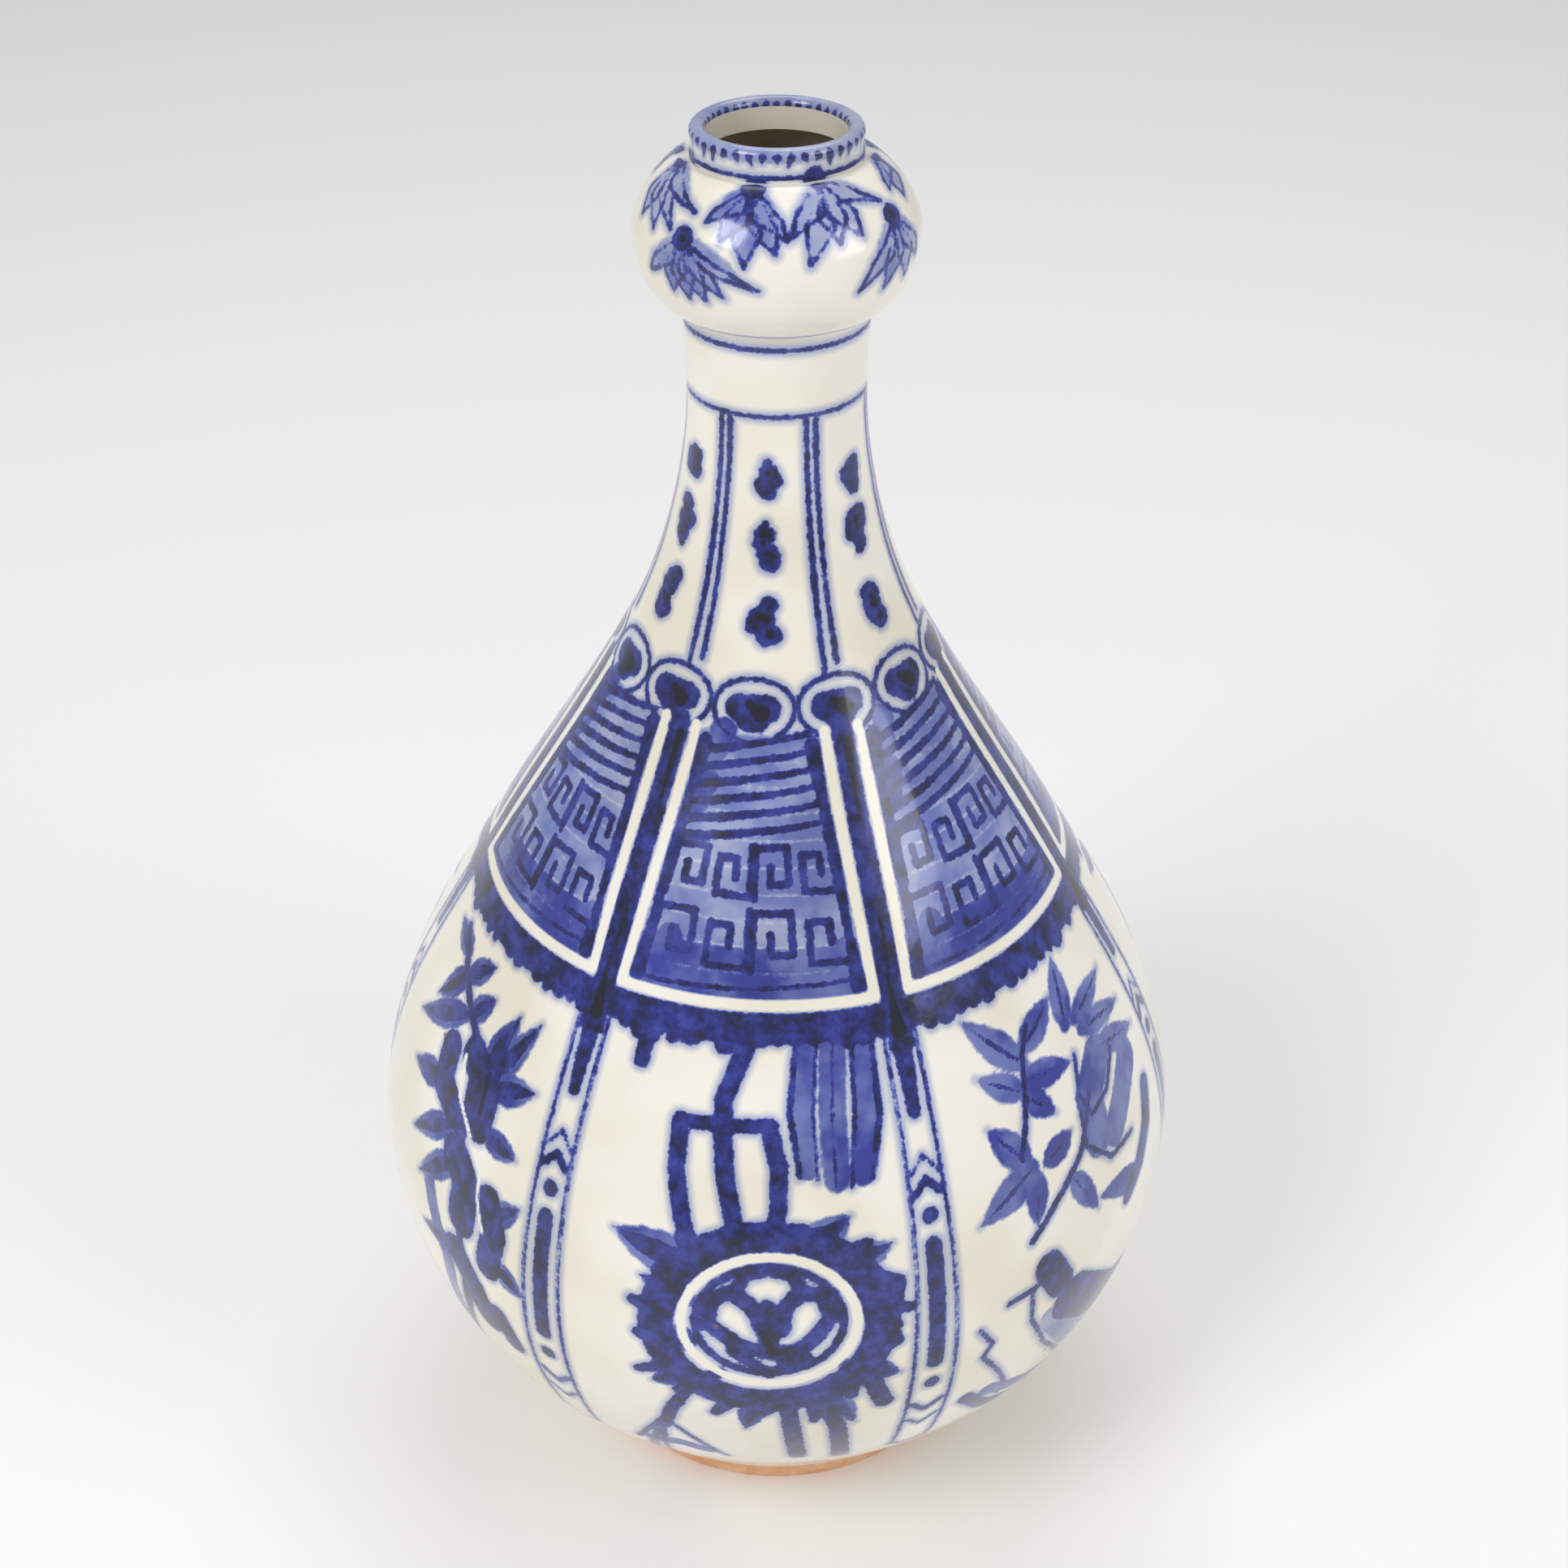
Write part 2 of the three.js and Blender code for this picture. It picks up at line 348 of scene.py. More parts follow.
# The two side panels
RIGHT_PANEL = [
    ("line_gap", 9, [(1258, 1430), (1262, 1370), (1258, 1300), (1262, 1262)]),
    ("line_gap", 10, [(1340, 1345), (1330, 1420), (1300, 1480), (1270, 1530)]),
    ("mid_gap", 56, [(1350, 1300), (1340, 1350), (1352, 1400)]),
    ("mid_gap", 50, [(1385, 1300), (1380, 1350), (1372, 1390)]),
    ("line_gap", 8, [(1322, 1300), (1328, 1350), (1345, 1372), (1362, 1340), (1366, 1290)]),
    ("line_gap", 8, [(1330, 1372), (1338, 1412), (1368, 1424), (1392, 1392)]),
    ("line_gap", 30, [(1408, 1335), (1410, 1380), (1402, 1430), (1388, 1470)]),
    ("line_gap", 46, [(1290, 1560), (1305, 1580)]),
    ("line_gap", 76, [(1318, 1596), (1350, 1592), (1384, 1574)]),
    ("line_gap", 40, [(1352, 1640), (1385, 1608), (1400, 1570)]),
    ("line_gap", 10, [(1274, 1586), (1242, 1606)]),
    ("line_gap", 7, [(1270, 1590), (1268, 1625), (1282, 1652), (1310, 1668), (1340, 1662)]),
    ("wash_gap", 44, [(1292, 1622), (1312, 1640), (1338, 1640)]),
    ("line_gap", 7, [(1205, 1640), (1220, 1655), (1208, 1672), (1226, 1688), (1234, 1704), (1224, 1716)]),
    ("line_gap", 24, [(1186, 1722), (1206, 1728), (1238, 1718), (1268, 1700)]),
    ("mid_gap", 30, [(1212, 1712), (1250, 1700), (1288, 1680)]),
]
RIGHT_LEAVES = [
    ((1258, 1310), (1180, 1258), 40), ((1260, 1290), (1290, 1226), 38), ((1262, 1330), (1318, 1306), 36),
    ((1258, 1345), (1200, 1330), 34), ((1260, 1350), (1300, 1370), 34), ((1310, 1262), (1292, 1176), 38),
    ((1322, 1255), (1350, 1190), 32), ((1330, 1268), (1374, 1228), 32), ((1350, 1290), (1392, 1258), 34),
    ((1262, 1430), (1214, 1392), 40), ((1270, 1440), (1205, 1512), 44), ((1276, 1450), (1276, 1512), 34),
    ((1290, 1430), (1318, 1392), 34), ((1320, 1450), (1352, 1488), 34), ((1400, 1440), (1352, 1476), 36),
]
LEFT_PANEL = [
    ("line_gap", 14, [(560, 1660), (572, 1560), (560, 1470), (572, 1380), (590, 1290), (576, 1200),
                      (580, 1140)]),
    ("line_gap", 46, [(556, 1290), (545, 1330), (560, 1372)]),
    ("line_gap", 50, [(585, 1300), (600, 1340), (588, 1385)]),
    ("line_gap", 56, [(560, 1420), (572, 1460), (566, 1500)]),
    ("line_gap", 44, [(600, 1480), (606, 1520), (598, 1560)]),
    ("line_gap", 50, [(560, 1540), (580, 1580), (600, 1622)]),
    ("line_gap", 34, [(612, 1620), (632, 1655)]),
    ("mid_gap", 30, [(527, 1450), (535, 1500), (550, 1550), (570, 1610)]),
    ("bare_gap", 8, [(574, 1300), (566, 1350), (578, 1400)]),
    ("bare_gap", 7, [(590, 1440), (586, 1480), (592, 1520)]),
    ("pool_gap", 16, [(600, 1330), (590, 1372)]),
    ("pool_gap", 16, [(575, 1590), (590, 1640)]),
    ("wash_gap", 30, [(485, 1420), (500, 1500), (530, 1580), (565, 1640)]),
    ("line_gap", 14, [(478, 1400), (490, 1480), (518, 1560), (560, 1640)]),
]
LEFT_LEAVES = [
    ((598, 1320), (642, 1252), 40), ((604, 1330), (668, 1262), 36), ((606, 1340), (660, 1348), 40),
    ((580, 1200), (540, 1222), 36), ((580, 1200), (612, 1192), 34), ((580, 1172), (572, 1128), 32),
    ((576, 1250), (520, 1240), 38), ((580, 1250), (612, 1232), 34), ((545, 1330), (512, 1300), 36),
    ((555, 1385), (508, 1384), 36), ((560, 1430), (514, 1440), 38), ((600, 1500), (640, 1490), 36),
    ((600, 1400), (634, 1430), 34), ((560, 1540), (520, 1500), 34), ((610, 1560), (640, 1600), 34),
]

# Fans on the bulb: the hub and the tips of its leaves
BULB_FANS = [
    ((933, 232), [(875, 273), (891, 297), (920, 329), (960, 314), (974, 297)]),
    ((1010, 221), [(980, 294), (1003, 327), (1040, 300), (1066, 290), (1089, 247)]),
    ((845, 294), [(807, 331), (834, 357), (854, 368), (874, 371), (895, 367), (938, 359)]),
    ((1104, 265), [(1062, 359), (1092, 355), (1118, 338), (1132, 312)]),
    ((849, 197), [(797, 262), (810, 280), (831, 283), (861, 262)]),
    ((1076, 190), [(1118, 240), (1100, 232)]),
]

# Marks in millimetres beside a strip's middle line and above the foot, with their widths
STRIP_EDGE = ((3.0, 133), (3.1, 120), (3.4, 105), (3.8, 90), (4.1, 75), (4.2, 60), (4.0, 48),
              (3.6, 38))
STRIP_EDGE_WIDTH = 0.75
STRIP_MARKS = {
    "tongue": ([(0, 134), (0, 126), (0, 120)], [3.6, 3.4, 2.4]),
    "thin upper arc": ([(-2.6, 110), (0, 113), (2.6, 110)], 0.7),
    "thick upper arc": ([(-2.4, 106.5), (0, 109), (2.4, 106.5)], 1.5),
    "upper dot": ([(0, 102.5)], [3.2]),
    "long bar": ([(0, 97), (0, 70)], 3.3),
    "lower dot": ([(0, 63.8)], [3.2]),
    "thick lower arc": ([(-3, 57), (0, 54), (3, 57)], 1.4),
    "thin lower arc": ([(-3, 51), (0, 48), (3, 51)], 0.8),
    "closing arc": ([(-3.6, 39), (0, 36.5), (3.6, 39)], 1.0),
}

# Bars between the shoulder panels, with the lines reserved round them
RESERVE_SIDE = 3.2
RESERVE_WIDTH = 2.0
BAR_MARKS = {
    "bar": ("line_gap", [(0, LAPPET_TOP), (0, 160), (0, 131)], [3.9, 4.2, 4.8]),
    "pooled foot": ("pool_gap", [(-0.4, 156), (0.5, 148), (-0.2, 141), (0, 133)], [0.5, 2.2, 1.6, 4.2]),
    "pooled head": ("pool_gap", [(0.6, 178), (0.4, 168), (0.8, 160)], [2.8, 1.8, 0.6]),
    "left reserve": ("bare_gap", [(-RESERVE_SIDE, LAPPET_TOP), (-RESERVE_SIDE, LAPPET_BOTTOM)],
                     RESERVE_WIDTH),
    "right reserve": ("bare_gap", [(RESERVE_SIDE, LAPPET_TOP), (RESERVE_SIDE, LAPPET_BOTTOM)],
                      RESERVE_WIDTH),
}
OVAL_MARKS = {
    "fill": ("line_gap", [(-2.4, 183.9), (0, 183.2), (2.4, 183.9)], [5.2, 7.0, 5.0]),
    "pool": ("pool_gap", [(-0.8, 184.6), (1.4, 183.2)], [2.6, 4.2]),
}
NECK_STRIPES = {
    "left": ("line_gap", [(-0.85, 233), (-1.3, 189)], [1.0, 0.9, 1.2, 0.9]),
    "right": ("line_gap", [(0.85, 232.5), (1.2, 190.5)], [1.2, 0.9, 0.9, 1.1]),
}

# Height, width and tallness of the neck's dots
NECK_DOTS = ((221.8, 4.6, 4.4), (210.6, 5.0, 5.6), (197.6, 5.6, 6.2))

# Layer, height and width of the lines right round the bottle
HOOPS = (("line_gap", 233.6, 0.75), ("line_gap", 245.9, 0.8), ("line_gap", 249.2, 0.9),
         ("pool_gap", 249.2, 0.3), ("line_gap", BULB_TOP + 0.2, 0.8), ("wash_gap", COLLAR_TOP - 0.9, 2.6))

# Ragged dark band under the shoulder panels
BAND_DROP = 3.6
BAND_WIDTH = 5.6
POOL_CHANCE = 0.45

# Wash of the shoulder panels: rows of wide strokes, darker below
WASH_MARGIN = 5.6
WASH_START = 2.8
WASH_PITCH = 4.0
WASH_WIDTH = 4.6
DARK_WASH_TOP = 148

# Key fret: one hook in shares of its cell, then base, tallness and number of hooks in each row
FRET_HOOK = ((0.0, 0.0), (0.0, 0.92), (0.86, 0.92), (0.86, 0.26), (0.4, 0.26), (0.4, 0.6))
FRET_ROWS = ((143.4, 9.6, 4), (154.4, 8.4, 4))
FRET_MARGIN = 5.8
FRET_GAP = 0.08
FRET_RISE = 1.2
FRET_WIDTH = 1.5

# Slanting stripes over the fret, and the uneven lines and smudges down the panels' sides
STRIPE_BASE = 165.0
STRIPE_PITCH = 2.7
PANEL_SIDE = ((141, 3.2), (150, 1.6), (160, 2.4), (170, 2.0), (178, 3.0))
PANEL_SMUDGES = ((0.06, 144), (0.05, 168), (0.1, 176), (0.93, 143))
SMUDGE_WIDTH = 5.0


def beside(angle, side, z):
    """The place at height z that lies a distance in millimetres beside an angle."""
    return angle + math.degrees(side / float(surface_radius(z))), z


def paint_beside(angle, marks):
    """Paints marks given in millimetres beside an angle."""
    for layer, points, widths in marks:
        painting.stroke(layer, [beside(angle, side, z) for side, z in points], widths)


def paint_pixels(layer, place, pixels, widths):
    """Paints a stroke through points of the photograph, with each angle carried by place."""
    spots = [from_photo(x, y) for x, y in pixels]
    painting.stroke(layer, [(place(a), z) for a, z in spots], widths)


def panel_places(home):
    """Two functions that carry an angle of the home panel to it and to the like panel behind."""
    low, high = STRIP_ANGLES[home], STRIP_ANGLES[home + 1]

    def carrier(panel):
        start = STRIP_ANGLES[panel]
        stretch = (STRIP_ANGLES[panel + 1] - start) / (high - low)
        return lambda angle: start + (angle - low) * stretch

    return [carrier(home), carrier(home + PANELS_SEEN)]


def paint_panel(home, marks, leaves, vein):
    """Paints a panel's motif there and in the like one behind; vein is a leaf's dark share."""
    for place in panel_places(home):
        for layer, width, pixels in marks:
            paint_pixels(layer, place, pixels, width / PIXELS_PER_MM)
        for base, tip, width in leaves:
            a0, z0 = from_photo(*base)
            a1, z1 = from_photo(*tip)
            size = width / PIXELS_PER_MM
            painting.leaf("mid_gap", (place(a0), z0), (place(a1), z1), size * 1.1)
            painting.leaf("line_gap", (place(a0), z0), (place(a1), z1), size * vein)


def paint_medallion():
    """A toothed dark field round a white oval ring with a three-lobed scroll inside."""
    def oval(scale, turn):
        x, y = MEDALLION_CENTRE
        wide, tall = MEDALLION_RING
        return x + wide * scale * math.cos(turn), y + tall * scale * math.sin(turn)

    turns = np.radians(np.arange(0, 361, 15))
    rings = (("line_gap", 1.28, 46), ("bare_gap", 1.0, 13), ("line_gap", 0.84, 11))
    for place in panel_places(1):
        for layer, scale, width in rings:
            paint_pixels(layer, place, [oval(scale, t) for t in turns], width / PIXELS_PER_MM)
        for k, t in enumerate(np.radians(np.arange(8, 360, 20))):
            out, width = MEDALLION_TEETH[k % len(MEDALLION_TEETH)]
            size = width / PIXELS_PER_MM
            paint_pixels("line_gap", place, [oval(1.3, t), oval(out, t + 0.08)], [size * 1.1, size * 0.5])
        for width, pixels in MEDALLION_SCROLL:
            paint_pixels("line_gap", place, pixels, width / PIXELS_PER_MM)
        paint_pixels("pool_gap", place, MEDALLION_POOL, [2.2, 3.4, 1.6])


def paint_strips():
    """The divider strips of the belly: two lines with tongue, arcs, dots and a long bar between."""
    edges = [("line_gap", [(side * half, z) for half, z in STRIP_EDGE], STRIP_EDGE_WIDTH)
             for side in (-1, 1)]
    marks = [("line_gap", points, widths) for points, widths in STRIP_MARKS.values()]
    for angle in STRIP_ANGLES[:-1]:
        paint_beside(angle, edges + marks)


def paint_lappets():
    """The shoulder collar: dark bars, reserved lines, and washed panels with key fret."""
    rng = np.random.default_rng(5)
    for low, high in zip(STRIP_ANGLES[:-1], STRIP_ANGLES[1:]):
        paint_beside(low, BAR_MARKS.values())
        edge = math.degrees(RESERVE_SIDE / float(surface_radius(LAPPET_BOTTOM)))
        foot = np.linspace(low + edge, high - edge, 15)
        painting.stroke("bare_gap", [(a, LAPPET_BOTTOM) for a in foot], RESERVE_WIDTH)
        band = np.linspace(low, high, 19)
        painting.stroke("line_gap", [(a, LAPPET_BOTTOM - BAND_DROP) for a in band], BAND_WIDTH)
        for a in band:
            hem = LAPPET_BOTTOM - rng.uniform(4.6, 6.2)
            painting.stroke("line_gap", [(a, hem)], [rng.uniform(2.2, 4.2)])
            if rng.random() < POOL_CHANCE:
                painting.stroke("pool_gap", [(a, hem + 0.8), (a + 3, hem)], [rng.uniform(0.6, 1.8), 0.3])
        for z in np.arange(LAPPET_BOTTOM + WASH_START, LAPPET_TOP, WASH_PITCH):
            half = math.degrees(WASH_MARGIN / float(surface_radius(z)))
            row = np.linspace(low + half, high - half, 12)
            layer = "mid_gap" if z < DARK_WASH_TOP else "wash_gap"
            painting.stroke(layer, [(a, z) for a in row], WASH_WIDTH)
        paint_fret(low, high)


def paint_fret(low, high):
    """Interlocking hooks of key fret between two bars, with slanting stripes above and below."""
    def at(across, z):
        margin = math.degrees(FRET_MARGIN / float(surface_radius(z)))
        return low + margin + across * (high - low - 2 * margin), z

    for base, tall, count in FRET_ROWS:
        for i in range(count):
            points = []
            for x, y in FRET_HOOK:
                rise = FRET_RISE * (i + x) / count
                if i % 2:
                    x, y = 1 - x, 1 - y
                points.append(at((i + FRET_GAP + (1 - FRET_GAP) * x) / count, base + tall * y + rise))
            painting.stroke("line_gap", points, FRET_WIDTH)
    for z in np.arange(STRIPE_BASE, LAPPET_TOP - 1, STRIPE_PITCH):
        painting.stroke("line_gap", [at(0.0, z - 1.9), at(0.45, z), at(1.0, z + 1.5)], [1.9, 1.5, 1.2])
    painting.stroke("line_gap", [at(0.0, 140.8), at(1.0, 142.2)], 1.1)
    widths = [width for _, width in PANEL_SIDE]
    for side in (0.0, 1.0):
        painting.stroke("line_gap", [at(side, z) for z, _ in PANEL_SIDE], widths)
    for side, z in PANEL_SMUDGES:
        painting.stroke("mid_gap", [at(side, z), at(side + 0.05, z + 4)], SMUDGE_WIDTH)


def paint_shoulder_ring():
    """The ring of framed ovals at the neck's root."""
    turns = np.radians(np.arange(0, 361, 20))
    frame_line = [(7.3 * math.cos(t), OVAL_HEIGHT + 5.0 * math.sin(t)) for t in turns]
    for angle in np.arange(OVAL_START, OVAL_START + 359, OVAL_PITCH):
        paint_beside(angle, [("line_gap", frame_line, 0.9), *OVAL_MARKS.values()])


def paint_neck():
    """The neck's double stripes and, between them, columns of ragged dots."""
    rng = np.random.default_rng(3)
    for low, high in zip(STRIP_ANGLES[:-1], STRIP_ANGLES[1:]):
        paint_beside(low, NECK_STRIPES.values())
        for z, wide, tall in NECK_DOTS:
            for _ in range(7):
                a = (low + high) / 2 + rng.uniform(-3.2, 3.2)
                up = z + rng.uniform(-0.5, 0.5) * tall
                end = (a + rng.uniform(-3, 3), up + rng.uniform(-2, 2))
                widths = [wide * rng.uniform(0.5, 0.9), wide * rng.uniform(0.2, 0.7)]
                painting.stroke("line_gap", [(a, up), end], widths)
                painting.stroke("pool_gap", [(a + 1, up)], [wide * rng.uniform(0.2, 0.55)])


def paint_bulb():
    """Fans of hanging leaves on the bulb, washed and outlined, each from a dark hub."""
    for turn in (0, 180):
        for hub, tips in BULB_FANS:
            a0, z0 = from_photo(*hub)
            start = (a0 + turn, z0)
            painting.stroke("pool_gap", [start], [2.4])
            painting.stroke("line_gap", [start], [4.2])
            for tip in tips:
                a1, z1 = from_photo(*tip)
                end = (a1 + turn, z1)
                painting.leaf("wash_gap", start, end, 4.4)
                for side in (-2.4, 2.4):
                    angle, z = beside((a0 + a1) / 2 + turn, side, (z0 + z1) / 2)
                    painting.stroke("line_gap", [start, (angle, z - 0.6), end], [0.9, 0.8, 0.7])


def paint_collar():
    """Short ticks that hang from the lip's blue wash."""
    rng = np.random.default_rng(11)
    for a in np.arange(0, 360, 9):
        drop = rng.uniform(1.8, 3.2)
        lean = rng.uniform(-2, 2)
        painting.stroke("line_gap", [(a, COLLAR_TOP - 1.3), (a + lean, COLLAR_TOP - drop)], [1.5, 0.4])


def paint_hoops():
    """Lines right round the neck and the bulb's two ends, and the wash on the lip."""
    for layer, z, width in HOOPS:
        painting.stroke(layer, [(a, z) for a in np.arange(0, 361, HOOP_STEP)], width)


def srgb(text):
    """A linear colour from an sRGB hex word."""
    parts = [int(text[i:i + 2], 16) / 255 for i in (0, 2, 4)]
    return tuple(c / 12.92 if c <= 0.04045 else ((c + 0.055) / 1.055) ** 2.4 for c in parts) + (1.0,)


class Nodes:
    """Short words for building a material's node tree."""

    def __init__(self, name):
        self.material = bpy.data.materials.new(name)
        self.material.use_nodes = True
        self.tree = self.material.node_tree
        self.shader = self.tree.nodes["Principled BSDF"]

    def add(self, kind, values=None, **settings):
        node = self.tree.nodes.new(kind)
        for key, value in settings.items():
            setattr(node, key, value)
        for key, value in (values or {}).items():
            self.put(value, node.inputs[key])
        return node

    def put(self, value, socket):
        if isinstance(value, bpy.types.NodeSocket):
            self.tree.links.new(value, socket)
        else:
            socket.default_value = value

    def maths(self, operation, a, b):
        return self.add("ShaderNodeMath", {0: a, 1: b}, operation=operation).outputs[0]

    def times(self, a, b):
        return self.maths("MULTIPLY", a, b)

    def most(self, a, b):
        return self.maths("MAXIMUM", a, b)

    def rest(self, share):
        return self.maths("SUBTRACT", 1.0, share)

    def place(self):
        return self.add("ShaderNodeTexCoord").outputs["Object"]

    def ramp(self, value, low, high, to_low=0.0, to_high=1.0):
        return self.add("ShaderNodeMapRange", {"Value": value, "From Min": low, "From Max": high,
                                               "To Min": to_low, "To Max": to_high},
                        interpolation_type="SMOOTHSTEP").outputs[0]

    def noise(self, scale, detail=3.0, roughness=0.55):
        return self.add("ShaderNodeTexNoise", {"Vector": self.place(), "Scale": scale, "Detail": detail,
                                               "Roughness": roughness}).outputs["Fac"]

    def field(self, name):
        return self.add("ShaderNodeAttribute", attribute_name=name).outputs["Fac"]

    def mix(self, share, a, b):
        node = self.add("ShaderNodeMix", data_type="RGBA")
        self.put(share, node.inputs[0])
        self.put(a, node.inputs[6])
        self.put(b, node.inputs[7])
        return node.outputs[2]


def ink_depth(n):
    """How much cobalt lies at a point, from 0 for none to 1 for a near-black pool."""
    wobble = n.times(n.maths("SUBTRACT", n.noise(900, 4.0, 0.6), 0.5), 1.1)
    mottle = n.noise(260, 5.0, 0.65)
    pooling = n.noise(85, 3.0, 0.55)
    line = n.ramp(n.maths("ADD", n.field("line_gap"), wobble), 0.42, -0.3)
    halo = n.ramp(n.field("line_gap"), 1.7, -0.1, 0.0, 0.22)
    wash = n.ramp(n.maths("ADD", n.field("wash_gap"), wobble), 0.7, -0.5)
    mid = n.ramp(n.maths("ADD", n.field("mid_gap"), wobble), 0.5, -0.4)
    bare = n.ramp(n.maths("ADD", n.field("bare_gap"), n.times(wobble, 0.6)), 0.3, -0.3)
    pool = n.ramp(n.maths("ADD", n.field("pool_gap"), wobble), 1.0, -0.9)
    wash_tone = n.ramp(pooling, 0.3, 0.7, 0.26, 0.46)
    mid_tone = n.ramp(pooling, 0.32, 0.68, 0.42, 0.68)
    line_tone = n.ramp(mottle, 0.28, 0.66, 0.6, 0.98)
    ink = n.most(n.times(line, line_tone), n.times(wash, wash_tone))
    ink = n.most(n.most(ink, n.times(mid, mid_tone)), halo)
    return n.most(n.times(ink, n.rest(bare)), pool)


def ink_colour(n, cobalt):
    """Tint of the cobalt by its depth, which multiplies the glaze's own colour."""
    tints = n.add("ShaderNodeValToRGB", {"Fac": ink_depth(n)})
    stops = [(place, srgb(tone)) for place, tone in THIN_INK]
    stops += [(FULL_INK, cobalt)]
    stops += [(place, srgb(tone)) for place, tone in THICK_INK]
    elements = tints.color_ramp.elements
    while len(elements) < len(stops):
        elements.new(0.5)
    for element, (place, tone) in zip(elements, stops):
        element.position = place
        element.color = tone
    return tints.outputs["Color"]


def glaze_material():
    """Clear gloss glaze over cream porcelain painted in cobalt, with a bare biscuit foot and painted
    shade inside the mouth.
    """
    look = bpy.context.scene.vase_look
    n = Nodes("cobalt_glaze")
    inside = n.field("inside")
    height = n.add("ShaderNodeSeparateXYZ", {0: n.place()}).outputs["Z"]
    body = n.mix(n.ramp(n.noise(30, 2.0), 0.35, 0.7), tuple(look.cream), srgb(AGED_CREAM))
    # Painted shade: the mouth's inside turns brown-dark with depth, where less light gets in
    throat_shade = n.times(inside, n.ramp(height, THROAT_TOP, THROAT_LOW, 0.1, 0.8))
    body = n.mix(throat_shade, body, srgb(THROAT_SHADE_BROWN))
    painted = n.add("ShaderNodeMix", data_type="RGBA", blend_type="MULTIPLY")
    n.put(1.0, painted.inputs[0])
    n.put(body, painted.inputs[6])
    n.put(ink_colour(n, tuple(look.cobalt)), painted.inputs[7])

    # Few small iron specks
    specks = n.add("ShaderNodeTexVoronoi", {"Vector": n.place(), "Scale": 95.0})
    near = n.ramp(specks.outputs["Distance"], 0.075, 0.035)
    chance = n.add("ShaderNodeSeparateColor", {0: specks.outputs["Color"]}).outputs[0]
    rare = n.times(near, n.ramp(chance, 0.86, 0.88))
    colour = n.mix(rare, painted.outputs[2], srgb(IRON_SPECK))

    # The glaze stops in a wavy line above the foot ring's bare biscuit
    edge = n.maths("ADD", height, n.times(n.maths("SUBTRACT", n.noise(120), 0.5), 0.0016))
    biscuit = n.times(n.ramp(edge, GLAZE_LINE_TOP, GLAZE_LINE_LOW), n.rest(inside))
    clay = n.mix(n.ramp(n.noise(220, 5.0, 0.7), 0.3, 0.7), srgb(PALE_BISCUIT), srgb(WARM_BISCUIT))
    n.put(n.mix(biscuit, colour, clay), n.shader.inputs["Base Color"])

    rough = n.ramp(n.noise(140, 3.0), 0.3, 0.7, 0.14, 0.24)
    n.put(n.most(rough, n.times(biscuit, 0.85)), n.shader.inputs["Roughness"])
    n.put(n.times(n.rest(biscuit), look.gloss), n.shader.inputs["Coat Weight"])
    n.shader.inputs["Coat Roughness"].default_value = 0.04
    n.shader.inputs["IOR"].default_value = 1.5
    uneven = n.maths("ADD", n.noise(24, 2.0), n.times(n.noise(420, 2.0), 0.06))
    uneven = n.maths("ADD", uneven, n.times(biscuit, n.times(n.noise(1500, 4.0), 0.25)))
    bump = n.add("ShaderNodeBump", {"Height": uneven, "Strength": 0.5, "Distance": 0.0012})
    n.put(bump.outputs["Normal"], n.shader.inputs["Normal"])
    return n.material


def grit_material():
    """Rust-brown kiln grit."""
    n = Nodes("kiln_grit")
    n.put(n.mix(n.noise(900), srgb(DARK_GRIT), srgb(PALE_GRIT)), n.shader.inputs["Base Color"])
    n.put(n.ramp(n.noise(1500), 0.3, 0.7, 0.6, 0.9), n.shader.inputs["Roughness"])
    return n.material


def bake_rows(outer, profile):
    """Height on the bake map of each point of a profile; the inside gets little of the map."""
    steps = np.hypot(*np.diff(profile, axis=0).T)
    weight = np.where(np.arange(1, len(profile)) < len(outer), 1.0, INSIDE_SHARE)
    length = np.concatenate([[0], np.cumsum(steps * weight)])
    return length / length[-1]


